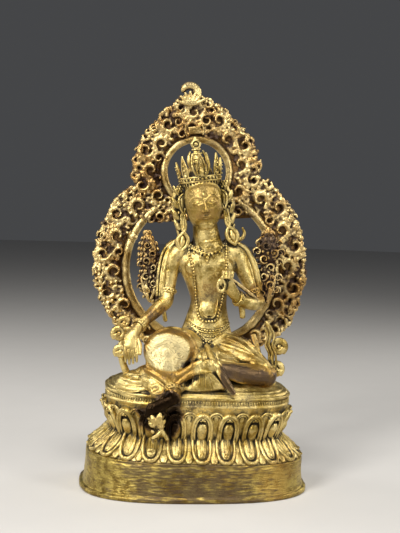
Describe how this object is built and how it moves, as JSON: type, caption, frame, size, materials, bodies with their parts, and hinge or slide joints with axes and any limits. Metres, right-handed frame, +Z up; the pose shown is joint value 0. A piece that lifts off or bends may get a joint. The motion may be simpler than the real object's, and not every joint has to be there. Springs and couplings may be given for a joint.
{
  "type": "manjushri figure",
  "caption": "Seated crowned bodhisattva in gilt bronze, one leg hanging, on a double lotus plinth before a pointed openwork aureole; stands on its flat underside.",
  "frame": {"origin": "on the ground, at the middle of the plinth's underside", "axes": "+Z up, +Y from the figure's front to its back, +X towards the figure's left hand"},
  "size_m": [0.1647, 0.0972, 0.2868],
  "materials": {
    "plinth_gilding": "worn gilding, dark in the recesses and scratched along the plain band",
    "figure_gilding": "polished gilding, rubbed brown on the raised leg and dark in the recesses",
    "aureole_gilding": "gilding rubbed to reddish bronze, nearly black between the scrolls"
  },
  "bodies": {
    "root": {"lotus_plinth": "plinth_gilding", "figure": "figure_gilding", "aureole": "aureole_gilding"}
  },
  "joints": []
}
